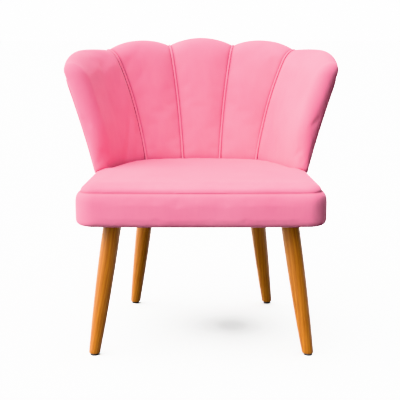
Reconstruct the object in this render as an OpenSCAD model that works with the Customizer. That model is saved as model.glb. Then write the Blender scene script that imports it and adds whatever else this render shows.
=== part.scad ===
// Upholstered tub armchair: a D-shaped padded seat on four splayed wooden legs,
// with a wrap-round back of five padded channels that ends in two wings.
// Sizes are in millimetres and +Z is up. The origin is on the floor, under the
// middle of the chair. -Y is the front, and left is -X, as seen from the front.

/* [Seat] */
// Height of the seat's crown above the floor
seat_height = 440; // [400:5:480]
// Width that the plan of the seat is drawn to
seat_width = 600; // [570:5:630]
// Depth of the seat from its front edge to the middle of its rear edge
seat_depth = 537; // [520:1:560]
// Height of the padded border round the seat
border_height = 86; // [80:1:100]
// Rise of the crown above the border's top seam
crown_rise = 20; // [14:1:26]
// How far the border swells out at its middle height
border_swell = 8; // [2:1:10]

/* [Back] */
// Height of the back's middle channel above the floor
back_height = 777; // [760:1:800]
// Lean of the back away from upright, in degrees
back_lean = 14.5; // [10:0.5:16]
// Thickness of the padded back from its outer cover to a channel's crest
back_thickness = 64; // [60:1:70]
// Depth of the groove between two channels
groove_depth = 12; // [8:1:14]
// Diameter of the piping in the seams
piping_d = 5.5; // [4:0.5:6]

/* [Legs] */
// Diameter that a leg tapers to at the floor
leg_foot_d = 28; // [24:1:34]
// Diameter of a leg under the seat
leg_top_d = 46.7; // [42:0.1:52]
// Sideways distance from the middle to a front foot
front_foot_x = 271; // [255:1:280]
// Distance of a front foot behind the seat's front edge
front_foot_y = 26; // [20:1:50]
// Sideways distance from the middle to a rear foot
rear_foot_x = 197; // [180:1:215]
// Distance of a rear foot behind the seat's front edge
rear_foot_y = 477; // [460:1:490]

/* [Hidden] */

velvet = "#f2a0bc";
velvet_shade = "#d97fa0";
piping_colour = "#ffbfd4";
foam_colour = "#f3ead0";
timber = "#d8b482";
plywood = "#c9a06a";
leg_colour = "#c47a30";
steel = "#b9bcc0";
black = "#26262a";

// Levels above the floor
seam_z = seat_height - crown_rise;
under_z = seam_z - border_height;
dust_cover_t = 0.8;
rail_z = under_z + dust_cover_t;
rail_top_z = seam_z - 23;
webbing_t = 1.5;
liner_z = rail_top_z + 2 * webbing_t;
foam_z = liner_z + 1;
block_top_z = rail_z + 40;
glide_h = 5;

// Layers of the seat, measured inwards from its edge
cover_t = 1.5;
border_t = 7.5;
rail_outer = 8;
rail_inner = 44;
edge_roll = 30;

// The plan of the seat is a chain of arcs from the middle of its rear edge
// round to the middle of its front edge. An arc ends where the outward
// direction has turned to the angle given here, counted from straight back.
rear_turn = 17;
corner_turn = 76;
side_turn = 87;
front_turn = 177.2;
rear_r = seat_width * 0.908;
corner_r = seat_width * 0.275;
side_r = seat_width;
front_corner_r = 55;

// The piece of an arc that is passed by the time the direction has turned to a,
// as a step outwards and a step towards the front
function arc_part(r, from, to, a) =
    a <= from ? [0, 0] : r * [sin(min(a, to)) - sin(from), cos(from) - cos(min(a, to))];

function side_step(a) =
    arc_part(rear_r, 0, rear_turn, a) +
    arc_part(corner_r, rear_turn, corner_turn, a) +
    arc_part(side_r, corner_turn, side_turn, a);

// The straight side is as long as the depth of the seat needs
front_corner_step = arc_part(front_corner_r, side_turn, front_turn, 180);
bow = tan((180 - front_turn) / 2);
side_length =
    (seat_depth - side_step(side_turn)[1] - front_corner_step[1]
        - (side_step(side_turn)[0] + front_corner_step[0]) * bow)
    / (sin(side_turn) + cos(side_turn) * bow);
side_run = side_length * [cos(side_turn), sin(side_turn)];
front_r = (side_step(side_turn) + side_run + front_corner_step)[0] / sin(front_turn);

// The chair's middle lies halfway between the border's front and the back's rear
rear_reach = (back_height - back_thickness / 2 - seam_z) * tan(back_lean);
mid_y = (seat_depth + rear_reach - border_swell) / 2;
rear_y = seat_depth - mid_y;
front_y = -mid_y;

// A point of the seat's edge, moved inwards by inset. Past the side's straight
// run, past is 1.
function edge_point(a, past, inset) =
    let (
        turn = abs(a),
        step = side_step(turn) + past * side_run
            + past * arc_part(front_corner_r, side_turn, front_turn, turn)
            + past * arc_part(front_r, front_turn, 180, turn)
    )
    [sign(a) * (step[0] - inset * sin(turn)), rear_y - step[1] - inset * cos(turn)];

// Directions at which the edge is sampled on the right: first from the rear to
// the side, then from the side to the front
back_turns = [0, 5, 11, 17, 24, 31, 38, 46, 54, 62, 70, 76, 81.5, 87];
front_turns = [87, 100, 115, 130, 145, 160, 170, 177.2, 178.6, 180];
back_count = len(back_turns);
front_count = len(front_turns);

// All the samples in one round, as [direction, past]
right_round = concat([for (a = back_turns) [a, 0]], [for (a = front_turns) [a, 1]]);
round_samples = concat(
    right_round,
    [for (i = [len(right_round) - 2:-1:1]) [-right_round[i][0], right_round[i][1]]]
);

function outline(inset) = [for (p = round_samples) edge_point(p[0], p[1], inset)];

// The cushion fills the whole plan in front of the wings, runs on under their
// rounded fronts and lies inside the back behind them
back_clear = back_thickness + 5;
wing_turn = 84.3;

// A corner of the cushion's hidden edge under a wing, so far in from the side
function under_wing(from_side, inset) =
    edge_point(wing_turn, 0, from_side) + inset * [cos(wing_turn), -sin(wing_turn)];

function cushion_half(inset) = concat(
    [for (i = [front_count - 1:-1:0]) edge_point(front_turns[i], 1, inset)],
    [under_wing(inset, inset), under_wing(back_clear + inset, inset)],
    [for (i = [back_count - 2:-1:0]) edge_point(back_turns[i], 0, back_clear + inset)]
);

function mirrored(points) = [for (i = [len(points) - 2:-1:1]) [-points[i][0], points[i][1]]];

function cushion_outline(inset) = concat(cushion_half(inset), mirrored(cushion_half(inset)));

// The back leans out at the same slope all round. A point of it lies at the
// direction a in plan, inset from the outer surface, at the height z.
function shell_point(a, inset, z) =
    let (out = (z - seam_z) * tan(back_lean))
    concat(edge_point(a, 0, inset - out), z);

// Across the back, s runs from -2.5 at the left wing to 2.5 at the right wing,
// and the seams between the channels are at -1.5, -0.5, 0.5 and 1.5. The seams
// fan out towards the top.
channel_base_z = seam_z + 1;
seam_fan = 1.75;
inner_seam_base = 6.3;
inner_seam_fan = 2.9;
outer_seam_base = 25.4;
outer_seam_fan = 20.9;
function rise(z) = pow(max(0, (z - channel_base_z) / (back_height - channel_base_z)), seam_fan);
function lerp(a, b, t) = a + (b - a) * t;

// Distance along the seat's edge from the middle of the rear to the direction
// a, and the direction at such a distance
function run_to(a) =
    (rear_r * min(a, rear_turn)
        + corner_r * max(0, min(a, corner_turn) - rear_turn)
        + side_r * max(0, a - corner_turn)) * PI / 180;
rear_run = run_to(rear_turn);
corner_run = run_to(corner_turn);
function turn_along(run) =
    180 / PI * (
        min(run, rear_run) / rear_r
        + max(0, min(run, corner_run) - rear_run) / corner_r
        + max(0, run - corner_run) / side_r
    );

// Direction of the place s at the height z: the width of a channel is shared
// out evenly along the seat's edge
function turn_at(s, z) =
    let (
        t = abs(s),
        inner = run_to(inner_seam_base + inner_seam_fan * rise(z)),
        outer = run_to(outer_seam_base + outer_seam_fan * rise(z)),
        wing = run_to(wing_turn)
    )
    sign(s) * turn_along(
        t < 0.5 ? 2 * t * inner
        : t < 1.5 ? lerp(inner, outer, t - 0.5)
        : lerp(outer, wing, t - 1.5)
    );

// Where a point lies across its own channel: 0 at the crest and 1 at a seam
function off_crest(s) = abs(2 * (abs(s) + 0.5 - floor(abs(s) + 0.5)) - 1);
function last_crest(s) = abs(s) < 2 ? off_crest(s) : 0;

// The scalloped top line drops by steps from the middle to the wings
inner_valley_z = back_height - 16;
outer_valley_z = back_height - 29;
wing_top_z = back_height - 32;
inner_bump = 18.5;
wing_bump = 9;
function top_z(s) =
    let (t = abs(s))
    t < 0.5 ? lerp(inner_valley_z, back_height, 1 - pow(off_crest(s), 2))
    : t < 1.5 ? lerp(inner_valley_z, outer_valley_z, t - 0.5) + inner_bump * (1 - pow(off_crest(s), 2))
    : lerp(outer_valley_z, wing_top_z, min(1, t - 1.5)) + wing_bump * (1 - pow(off_crest(s), 2));

// Depth of the padding from the outer surface to the visible face
function face_depth(s) = back_thickness - groove_depth * pow(last_crest(s), 3);

roll_r = back_thickness / 2;
hook_h = 16;
function roll_z(s) = top_z(s) - roll_r;

// One upright section through a channel's visible surface, moved inwards by
// skin: up the face, over the rolled top and a little way down the outside
face_steps = 5;
roll_turns = [30, 60, 90, 120, 150, 180];
function channel_section(s, skin) =
    let (
        depth = face_depth(s) - skin,
        middle = (depth + skin) / 2,
        reach = (depth - skin) / 2
    )
    concat(
        [for (i = [0:face_steps])
            let (z = lerp(channel_base_z, roll_z(s), i / face_steps))
            shell_point(turn_at(s, z), depth, z)],
        [for (f = roll_turns)
            let (z = roll_z(s) + (roll_r - skin) * sin(f))
            shell_point(turn_at(s, z), middle + reach * cos(f), z)],
        [shell_point(turn_at(s, roll_z(s) - hook_h), skin, roll_z(s) - hook_h)]
    );

// The same section where the padding meets the lining, the top of the frame
// and the wadding
frame_top_z = back_height - 77;
lining_face = 36;
wadding_face = 7;
function channel_back(s) = concat(
    [for (i = [0:face_steps])
        let (z = lerp(channel_base_z, frame_top_z + 2, i / face_steps))
        shell_point(turn_at(s, z), lining_face, z)],
    [for (f = roll_turns)
        let (z = frame_top_z + 2)
        shell_point(turn_at(s, z), lerp(lining_face, wadding_face, f / 180), z)],
    [shell_point(turn_at(s, roll_z(s) - hook_h), wadding_face, roll_z(s) - hook_h)]
);

// A closed solid between two grids of points that match row for row. A ring
// joins its last row to its first.
module thick_sheet(face, back, ring = false) {
    rows = len(face);
    cols = len(face[0]);
    last = ring ? rows - 1 : rows - 2;
    function at(i, j, side) = (side * rows + i % rows) * cols + j;
    quads = concat(
        [for (i = [0:last], j = [0:cols - 2])
            [at(i, j, 0), at(i + 1, j, 0), at(i + 1, j + 1, 0), at(i, j + 1, 0)]],
        [for (i = [0:last], j = [0:cols - 2])
            [at(i, j, 1), at(i, j + 1, 1), at(i + 1, j + 1, 1), at(i + 1, j, 1)]],
        [for (i = [0:last])
            [at(i, 0, 0), at(i, 0, 1), at(i + 1, 0, 1), at(i + 1, 0, 0)]],
        [for (i = [0:last])
            [at(i, cols - 1, 0), at(i + 1, cols - 1, 0), at(i + 1, cols - 1, 1), at(i, cols - 1, 1)]],
        ring ? [] : [for (j = [0:cols - 2])
            [at(0, j, 0), at(0, j + 1, 0), at(0, j + 1, 1), at(0, j, 1)]],
        ring ? [] : [for (j = [0:cols - 2])
            [at(last + 1, j, 0), at(last + 1, j, 1), at(last + 1, j + 1, 1), at(last + 1, j + 1, 0)]]
    );
    polyhedron(
        points = concat([for (row = face) each row], [for (row = back) each row]),
        faces = [for (q = quads) each [[q[0], q[1], q[2]], [q[0], q[2], q[3]]]]
    );
}

// A closed solid through a stack of level rings, each a flat outline at a height
module loft(rings) {
    n = len(rings[0]);
    top = len(rings) - 1;
    polyhedron(
        points = [for (ring = rings) each ring],
        faces = concat(
            [[for (j = [0:n - 1]) n * top + n - 1 - j]],
            [[for (j = [0:n - 1]) j]],
            [for (i = [0:top - 1], j = [0:n - 1]) each [
                [i * n + j, (i + 1) * n + j, i * n + (j + 1) % n],
                [i * n + (j + 1) % n, (i + 1) * n + j, (i + 1) * n + (j + 1) % n]
            ]]
        )
    );
}

// A round tube that follows a path. The path keeps clear of the direction up,
// which sets how each ring of the tube is turned.
module tube(path, d, up, sides = 8) {
    last = len(path) - 1;
    function unit(v) = v / norm(v);
    rings = [for (i = [0:last])
        let (
            ahead = unit(path[min(last, i + 1)] - path[max(0, i - 1)]),
            across = unit(cross(ahead, up[i])),
            over = cross(across, ahead)
        )
        [for (k = [0:sides - 1])
            path[i] + d / 2 * (across * cos(360 * k / sides) + over * sin(360 * k / sides))]
    ];
    polyhedron(
        points = [for (ring = rings) each ring],
        faces = concat(
            [[for (k = [0:sides - 1]) k]],
            [[for (k = [0:sides - 1]) last * sides + sides - 1 - k]],
            [for (i = [0:last - 1], k = [0:sides - 1])
                let (m = (k + 1) % sides)
                each [
                    [i * sides + k, (i + 1) * sides + k, i * sides + m],
                    [i * sides + m, (i + 1) * sides + k, (i + 1) * sides + m]
                ]]
        )
    );
}

// ---- Seat frame ----

module seat_ring() {
    translate([0, 0, rail_z])
        linear_extrude(rail_top_z - rail_z)
            difference() {
                polygon(outline(rail_outer));
                polygon(outline(rail_inner));
            }
}

front_rail_x = 246;
rear_rail_y = edge_point(side_turn, 0, 0)[1];

module seat_rail_front() {
    color(timber) intersection() {
        seat_ring();
        translate([-front_rail_x, front_y, 0]) cube([2 * front_rail_x, 60, seam_z]);
    }
}

module seat_rail_side() {
    intersection() {
        seat_ring();
        translate([front_rail_x, front_y, 0]) cube([100, rear_rail_y - front_y, seam_z]);
    }
    intersection() {
        seat_ring();
        translate([200, front_y + 60, 0]) cube([100, rear_rail_y - front_y - 60, seam_z]);
    }
}

module seat_rail_left() {
    color(timber) mirror([1, 0, 0]) seat_rail_side();
}

module seat_rail_right() {
    color(timber) seat_rail_side();
}

// Bolts hold the back on the rear rail, at these directions in plan
bolt_turns = [-58, -20, 20, 58];
bolt_inset = 21;
bolt_d = 8;
bolt_seat_z = rail_z + 26;
washer_t = 1.6;
back_rail_h = seam_z - 1 - rail_top_z;

module at_bolts() {
    for (a = bolt_turns)
        translate(concat(edge_point(a, 0, bolt_inset), 0))
            children();
}

module seat_rail_rear() {
    color(timber) difference() {
        intersection() {
            seat_ring();
            translate([-320, rear_rail_y, 0]) cube([640, 400, seam_z]);
        }
        at_bolts() {
            translate([0, 0, rail_z - 1]) cylinder(d = 20, h = bolt_seat_z - rail_z + 1, $fn = 48);
            translate([0, 0, rail_z]) cylinder(d = bolt_d + 0.6, h = 100, $fn = 48);
        }
    }
}

// ---- Legs and what holds them ----

// A leg runs from its foot to where its middle meets the underside of the seat.
// Its top is given as a sideways distance from the middle and a distance behind
// the seat's front edge.
front_leg_top = [222.6, 73];
rear_leg_top = [154, 430];
function leg_line(foot_x, foot_y, top) = [
    [foot_x, foot_y + front_y, 0],
    [top[0], top[1] + front_y, under_z]
];
front_leg = leg_line(front_foot_x, front_foot_y, front_leg_top);
rear_leg = leg_line(rear_foot_x, rear_foot_y, rear_leg_top);

// Stands its child, drawn along +Z from the origin, on a leg's middle line. The
// quarter turn puts the start of a turned shape at its side.
module along_leg(leg) {
    run = leg[1] - leg[0];
    translate(leg[0])
        rotate([0, acos(run[2] / norm(run)), atan2(run[1], run[0])])
            rotate([0, 0, 90])
                children();
}

function leg_length(leg) = norm(leg[1] - leg[0]);

hanger_d = 8;
hanger_down = 50;
hanger_up = 38;
tee_nut_d = 10;
tee_flange_d = 22;
tee_flange_t = 1.6;
tee_barrel_h = 12;
tee_seat = 30;

module leg(ends) {
    length = leg_length(ends);
    steps = 12;
    spare = 20;
    profile = [for (i = [0:steps])
        let (t = i / steps)
        [
            lerp(leg_foot_d, leg_top_d, 1 - pow(1 - t, 2)) / 2,
            lerp(-spare, length + spare, t)
        ]];
    difference() {
        intersection() {
            along_leg(ends)
                rotate_extrude($fn = 64)
                    polygon(concat([[0, -spare]], profile, [[0, length + spare]]));
            translate([-400, -400, glide_h]) cube([800, 800, under_z - glide_h]);
        }
        along_leg(ends)
            translate([0, 0, length - hanger_down])
                cylinder(d = hanger_d, h = hanger_down + 2 * spare, $fn = 48);
        translate(ends[0]) cylinder(d = nail_d, h = glide_h + nail_h, $fn = 32);
    }
}

module leg_front_left() {
    color(leg_colour) mirror([1, 0, 0]) leg(front_leg);
}

module leg_front_right() {
    color(leg_colour) leg(front_leg);
}

module leg_rear_left() {
    color(leg_colour) mirror([1, 0, 0]) leg(rear_leg);
}

module leg_rear_right() {
    color(leg_colour) leg(rear_leg);
}

glide_d = 21.5;
nail_d = 3;
nail_h = 16;

module glide(ends) {
    translate(ends[0]) {
        cylinder(d = glide_d, h = glide_h, $fn = 64);
        translate([0, 0, glide_h]) cylinder(d = nail_d, h = nail_h, $fn = 32);
    }
}

module glide_front_left() {
    color(black) mirror([1, 0, 0]) glide(front_leg);
}

module glide_front_right() {
    color(black) glide(front_leg);
}

module glide_rear_left() {
    color(black) mirror([1, 0, 0]) glide(rear_leg);
}

module glide_rear_right() {
    color(black) glide(rear_leg);
}

// Each corner block fills a corner of the frame over its leg, and a tee nut
// sits in it on the leg's middle line
module corner_block(ends, low, high) {
    difference() {
        intersection() {
            translate([0, 0, rail_z])
                linear_extrude(block_top_z - rail_z)
                    polygon(outline(rail_inner));
            translate(concat(low, rail_z)) cube(concat(high - low, 100));
        }
        along_leg(ends)
            rotate_extrude($fn = 48)
                translate([0, leg_length(ends)])
                    polygon([
                        [0, -30], [tee_nut_d / 2, -30], [tee_nut_d / 2, tee_seat - tee_flange_t],
                        [tee_flange_d / 2, tee_seat - tee_flange_t], [tee_flange_d / 2, 90], [0, 90]
                    ]);
    }
}

front_block_low = [175, front_y];
front_block_high = [300, front_y + 118];
rear_block_low = [100, front_y + 385];
rear_block_high = [260, rear_y];

module corner_block_front_left() {
    color(timber) mirror([1, 0, 0]) corner_block(front_leg, front_block_low, front_block_high);
}

module corner_block_front_right() {
    color(timber) corner_block(front_leg, front_block_low, front_block_high);
}

module corner_block_rear_left() {
    color(timber) mirror([1, 0, 0]) corner_block(rear_leg, rear_block_low, rear_block_high);
}

module corner_block_rear_right() {
    color(timber) corner_block(rear_leg, rear_block_low, rear_block_high);
}

module at_each_leg() {
    for (side = [0, 1], ends = [front_leg, rear_leg])
        mirror([side, 0, 0])
            along_leg(ends)
                translate([0, 0, leg_length(ends)])
                    children();
}

module leg_tee_nuts() {
    color(steel) at_each_leg()
        difference() {
            union() {
                translate([0, 0, tee_seat - tee_flange_t])
                    cylinder(d = tee_flange_d, h = tee_flange_t, $fn = 48);
                translate([0, 0, tee_seat - tee_barrel_h])
                    cylinder(d = tee_nut_d, h = tee_barrel_h, $fn = 48);
            }
            cylinder(d = hanger_d, h = 60, $fn = 48);
        }
}

module hanger_bolts() {
    color(steel) at_each_leg()
        translate([0, 0, -hanger_down]) cylinder(d = hanger_d, h = hanger_down + hanger_up, $fn = 48);
}

// ---- Webbing and padding of the seat ----

webbing_w = 60;
webbing_inset = rail_inner - 10;
// Middle lines of the straps: sideways, and behind the seat's front edge
webbing_across = [-180:90:180];
webbing_along = [90:95:375];

module webbing_lengthwise() {
    color(black) intersection() {
        translate([0, 0, rail_top_z]) linear_extrude(webbing_t) polygon(outline(webbing_inset));
        for (x = webbing_across)
            translate([x - webbing_w / 2, front_y, rail_top_z])
                cube([webbing_w, seat_depth, webbing_t]);
    }
}

module webbing_crosswise() {
    color(black) intersection() {
        translate([0, 0, rail_top_z + webbing_t])
            linear_extrude(webbing_t) polygon(outline(webbing_inset));
        for (y = webbing_along)
            translate([-320, front_y + y - webbing_w / 2, rail_top_z])
                cube([640, webbing_w, 10]);
    }
}

module webbing_liner() {
    color("#3a3a3e") translate([0, 0, liner_z])
        linear_extrude(foam_z - liner_z) polygon(cushion_outline(border_t + 0.5));
}

// The cushion's rounded edge from the seam up to the crown, as level rings
// moved inwards by skin
edge_turns = [0, 22.5, 45, 67.5, 90];
function crown_rings(skin) = [for (f = edge_turns)
    let (
        z = seam_z + (crown_rise - skin) * sin(f),
        inset = skin + (edge_roll - skin) * (1 - cos(f))
    )
    [for (p = cushion_outline(inset)) [p[0], p[1], z]]];

function level_ring(inset, z) = [for (p = cushion_outline(inset)) [p[0], p[1], z]];

module seat_foam() {
    color(foam_colour) {
        loft(crown_rings(cover_t));
        translate([0, 0, foam_z])
            linear_extrude(seam_z - foam_z) polygon(cushion_outline(border_t + 0.5));
    }
}

module seat_top_cover() {
    color(velvet) difference() {
        loft(crown_rings(0));
        loft(concat([level_ring(cover_t, seam_z - 1)], crown_rings(cover_t)));
    }
}

border_levels = [0, 0.2, 0.5, 0.8, 1];
module seat_border() {
    color(velvet_shade) thick_sheet(
        [for (p = round_samples)
            [for (t = border_levels)
                concat(
                    edge_point(p[0], p[1], -border_swell * (1 - pow(2 * t - 1, 2))),
                    lerp(under_z, seam_z, t)
                )]],
        [for (p = round_samples)
            [for (t = border_levels)
                concat(edge_point(p[0], p[1], border_t), lerp(under_z, seam_z, t))]],
        ring = true
    );
}

module dust_cover() {
    color(black) translate([0, 0, under_z])
        linear_extrude(dust_cover_t) polygon(outline(rail_outer));
}

// Staples hold the dust cover to the rails all round. Each stands out from the
// cover by the thickness of its wire.
staple_inset = 24;
staple_size = [11, 1.2, 0.6];
staple_z = under_z - staple_size[2] / 2;

module staple(a, past) {
    spot = edge_point(a, 0, staple_inset) + past * [sign(a) * side_run[0], -side_run[1]];
    translate(concat(spot, staple_z))
        rotate([0, 0, -a]) cube(staple_size, center = true);
}

module dust_cover_staples() {
    color(steel)
        for (side = [-1, 1], a = [6:8:86])
            staple(side * a, 0);
    color(steel)
        for (side = [-1, 1], past = [0.2:0.2:0.8])
            staple(side * side_turn, past);
    color(steel)
        for (x = [-225:45:225])
            translate([x, front_y + staple_inset + 3, staple_z])
                cube(staple_size, center = true);
}

// ---- Frame of the back ----

bolt_head_d = 14.4;
bolt_head_h = 5.3;
bolt_length = 56;
bolt_nut_h = 11;
module back_bolts() {
    color(steel) at_bolts() {
        translate([0, 0, bolt_seat_z - washer_t - bolt_head_h])
            cylinder(d = bolt_head_d, h = bolt_head_h, $fn = 6);
        translate([0, 0, bolt_seat_z - washer_t])
            cylinder(d = bolt_d, h = bolt_length, $fn = 48);
    }
}

module back_bolt_washers() {
    color(steel) at_bolts()
        translate([0, 0, bolt_seat_z - washer_t])
            difference() {
                cylinder(d = 18, h = washer_t, $fn = 48);
                translate([0, 0, -1]) cylinder(d = bolt_d, h = washer_t + 2, $fn = 48);
            }
}

module back_tee_nuts() {
    color(steel) at_bolts()
        difference() {
            union() {
                translate([0, 0, rail_top_z + back_rail_h])
                    cylinder(d = 20, h = tee_flange_t, $fn = 48);
                translate([0, 0, rail_top_z + back_rail_h - bolt_nut_h])
                    cylinder(d = tee_nut_d, h = bolt_nut_h, $fn = 48);
            }
            translate([0, 0, rail_top_z]) cylinder(d = bolt_d, h = 40, $fn = 48);
        }
}

// A curved board of the back between two insets and two heights
board_turns = [for (i = [-14:14]) i * 6];
module curved_board(turns, outer, inner, low, high) {
    thick_sheet(
        [for (a = turns) [shell_point(a, inner, low), shell_point(a, inner, high)]],
        [for (a = turns) [shell_point(a, outer, low), shell_point(a, outer, high)]]
    );
}

rail_depth = 9;
post_depth = 18;
post_face = wadding_face + rail_depth + post_depth;

module back_rail_bottom() {
    color(plywood) difference() {
        translate([0, 0, rail_top_z])
            linear_extrude(back_rail_h)
                intersection() {
                    difference() {
                        polygon(outline(rail_outer));
                        polygon(outline(post_face));
                    }
                    translate([-320, rear_rail_y + 25]) square([640, 400]);
                }
        at_bolts() {
            cylinder(d = bolt_d + 0.6, h = 500, $fn = 48);
            translate([0, 0, rail_top_z + back_rail_h - bolt_nut_h])
                cylinder(d = tee_nut_d, h = 40, $fn = 48);
        }
    }
}

rail_face = wadding_face + rail_depth;
middle_rail_z = 545;
middle_rail_h = 60;
top_rail_h = 50;

module back_rail_middle() {
    color(plywood) curved_board(
        board_turns, wadding_face, rail_face,
        middle_rail_z, middle_rail_z + middle_rail_h
    );
}

module back_rail_top() {
    color(plywood) curved_board(
        board_turns, wadding_face, rail_face,
        frame_top_z - top_rail_h, frame_top_z
    );
}

// A post is half_w degrees wide each way
module back_post(a, half_w) {
    color(timber) curved_board(
        [a - half_w, a, a + half_w], rail_face, post_face,
        seam_z - 1, frame_top_z
    );
}

wing_post_turn = 81;
outer_post_turn = 36;
inner_post_turn = 7.5;

module back_post_left_wing() { back_post(-wing_post_turn, 2); }
module back_post_left_outer() { back_post(-outer_post_turn, 6); }
module back_post_left_inner() { back_post(-inner_post_turn, 2); }
module back_post_right_inner() { back_post(inner_post_turn, 2); }
module back_post_right_outer() { back_post(outer_post_turn, 6); }
module back_post_right_wing() { back_post(wing_post_turn, 2); }

module back_lining() {
    color("#b59a78")
        curved_board(board_turns, post_face, lining_face, channel_base_z + 2, frame_top_z);
}

// ---- Padding and cover of the back ----

// Places across one channel at which its sections are drawn
function across(from, to, steps) = [for (i = [0:steps]) lerp(from, to, i / steps)];

module channel_foam(from, to, steps) {
    thick_sheet(
        [for (s = across(from, to, steps)) channel_section(s, cover_t)],
        [for (s = across(from, to, steps)) channel_back(s)]
    );
}

module channel_cover(from, to, steps) {
    thick_sheet(
        [for (s = across(from, to, steps)) channel_section(s, 0)],
        [for (s = across(from, to, steps)) channel_section(s, cover_t)]
    );
}

// The front of a wing turns round from the inside to the outside. A point of it
// lies at the angle f round the nose's upright middle line.
nose_turns = [for (i = [0:8]) i * 22.5];
nose_levels = [0, 0.35, 0.7, 1];
nose_lifts = [30, 55, 75, 88];
// The nose starts this far back, inside the end of its channel
nose_lap = 1;
function nose_point(f, radius, z) =
    let (
        middle = shell_point(wing_turn, back_thickness / 2, z),
        inwards = -radius * cos(f),
        ahead = radius * sin(f) - nose_lap
    )
    middle + [
        inwards * sin(wing_turn) + ahead * cos(wing_turn),
        inwards * cos(wing_turn) - ahead * sin(wing_turn),
        0
    ];

// The nose stands on the cushion, whose edge rolls down to the seam at the side
function crown_z(inset) = seam_z + crown_rise * sqrt(1 - pow(max(0, 1 - inset / edge_roll), 2));
function nose_base_z(f) = crown_z(back_thickness / 2 * (1 + cos(f))) + 0.5;

function nose_section(f, skin) =
    let (radius = back_thickness / 2 - skin)
    concat(
        [for (t = nose_levels) nose_point(f, radius, lerp(nose_base_z(f), roll_z(2.5), t))],
        [for (g = nose_lifts) nose_point(f, radius * cos(g), roll_z(2.5) + radius * sin(g))]
    );

nose_core = 4;
module nose_foam() {
    thick_sheet(
        [for (f = nose_turns) nose_section(f, cover_t)],
        [for (f = nose_turns) nose_section(f, back_thickness / 2 - nose_core)]
    );
}

module nose_cover() {
    thick_sheet(
        [for (f = nose_turns) nose_section(f, 0)],
        [for (f = nose_turns) nose_section(f, cover_t)]
    );
}

module wing_foam() {
    channel_foam(1.5, 2.5, 10);
    nose_foam();
}

module wing_cover() {
    channel_cover(1.5, 2.5, 10);
    nose_cover();
}

module channel_foam_left_outer() { color(foam_colour) mirror([1, 0, 0]) wing_foam(); }
module channel_foam_left_inner() { color(foam_colour) channel_foam(-1.5, -0.5, 6); }
module channel_foam_centre() { color(foam_colour) channel_foam(-0.5, 0.5, 6); }
module channel_foam_right_inner() { color(foam_colour) channel_foam(0.5, 1.5, 6); }
module channel_foam_right_outer() { color(foam_colour) wing_foam(); }

module channel_cover_left_outer() { color(velvet) mirror([1, 0, 0]) wing_cover(); }
module channel_cover_left_inner() { color(velvet) channel_cover(-1.5, -0.5, 6); }
module channel_cover_centre() { color(velvet) channel_cover(-0.5, 0.5, 6); }
module channel_cover_right_inner() { color(velvet) channel_cover(0.5, 1.5, 6); }
module channel_cover_right_outer() { color(velvet) wing_cover(); }

// Piping lies in the groove over each seam, a little above its bottom, and
// starts at the cushion's crown
piping_lift = piping_d * 0.62;
piping_base_z = channel_base_z + 16;
module channel_piping(s) {
    depth = face_depth(s) + piping_lift;
    middle = (depth - piping_lift) / 2;
    reach = (depth + piping_lift) / 2;
    climb = across(piping_base_z, roll_z(s), 8);
    over = [for (f = [15:15:180])
        [middle + reach * cos(f), roll_z(s) + (roll_r + piping_lift) * sin(f)]];
    path = concat(
        [for (z = climb) shell_point(turn_at(s, z), depth, z)],
        [for (p = over) shell_point(turn_at(s, p[1]), p[0], p[1])]
    );
    color(piping_colour) tube(path, piping_d, [for (p = path) [1, 0, 0]]);
}

module piping_left_outer() { channel_piping(-1.5); }
module piping_left_inner() { channel_piping(-0.5); }
module piping_right_inner() { channel_piping(0.5); }
module piping_right_outer() { channel_piping(1.5); }

// The outer cover reaches up to the edge piping, which runs up the outside of
// one wing, along under the rolled top and down the other wing
edge_gap = 0.65;
edge_turn = wing_turn - edge_gap * 0.57;
function hem_z(s) = roll_z(s) - hook_h - piping_d;

module edge_piping() {
    rise_z = across(channel_base_z, hem_z(2.5) - 8, 8);
    half = concat(
        [for (z = rise_z) shell_point(edge_turn, piping_d / -4, z)],
        [for (s = concat([2.46], across(2.38, 0, 20)))
            let (z = hem_z(s) + piping_d / 2)
            shell_point(turn_at(s, z), piping_d / -4, z)]
    );
    other = [for (i = [len(half) - 2:-1:0]) [-half[i][0], half[i][1], half[i][2]]];
    path = concat(half, other);
    // Each outline of the cord is set square to a direction that points outwards
    outwards = [for (p = path) [p[0] / 200, max(0.2, p[1] / 200), 0.26]];
    color(piping_colour) tube(path, piping_d, outwards, 6);
}

outer_places = across(-2.5, 2.5, 30);
function outer_turn(s, z) = turn_at(s, z) * (wing_turn - edge_gap) / wing_turn;
function outer_grid(inset) = [for (s = outer_places)
    [for (t = [0, 0.5, 1])
        let (z = lerp(channel_base_z, hem_z(s), t))
        shell_point(outer_turn(s, z), inset, z)]];

module outer_back_cover() {
    color(velvet_shade) thick_sheet(outer_grid(cover_t), outer_grid(0));
}

module back_wadding() {
    color("#f4f4f0") thick_sheet(outer_grid(wadding_face), outer_grid(cover_t));
}

seat_rail_front();
seat_rail_left();
seat_rail_right();
seat_rail_rear();
corner_block_front_left();
corner_block_front_right();
corner_block_rear_left();
corner_block_rear_right();
leg_tee_nuts();
hanger_bolts();
leg_front_left();
leg_front_right();
leg_rear_left();
leg_rear_right();
glide_front_left();
glide_front_right();
glide_rear_left();
glide_rear_right();
webbing_lengthwise();
webbing_crosswise();
webbing_liner();
seat_foam();
seat_top_cover();
seat_border();
dust_cover();
dust_cover_staples();
back_bolts();
back_bolt_washers();
back_tee_nuts();
back_rail_bottom();
back_rail_middle();
back_rail_top();
back_post_left_wing();
back_post_left_outer();
back_post_left_inner();
back_post_right_inner();
back_post_right_outer();
back_post_right_wing();
back_lining();
back_wadding();
channel_foam_left_outer();
channel_foam_left_inner();
channel_foam_centre();
channel_foam_right_inner();
channel_foam_right_outer();
channel_cover_left_outer();
channel_cover_left_inner();
channel_cover_centre();
channel_cover_right_inner();
channel_cover_right_outer();
piping_left_outer();
piping_left_inner();
piping_right_inner();
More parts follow.
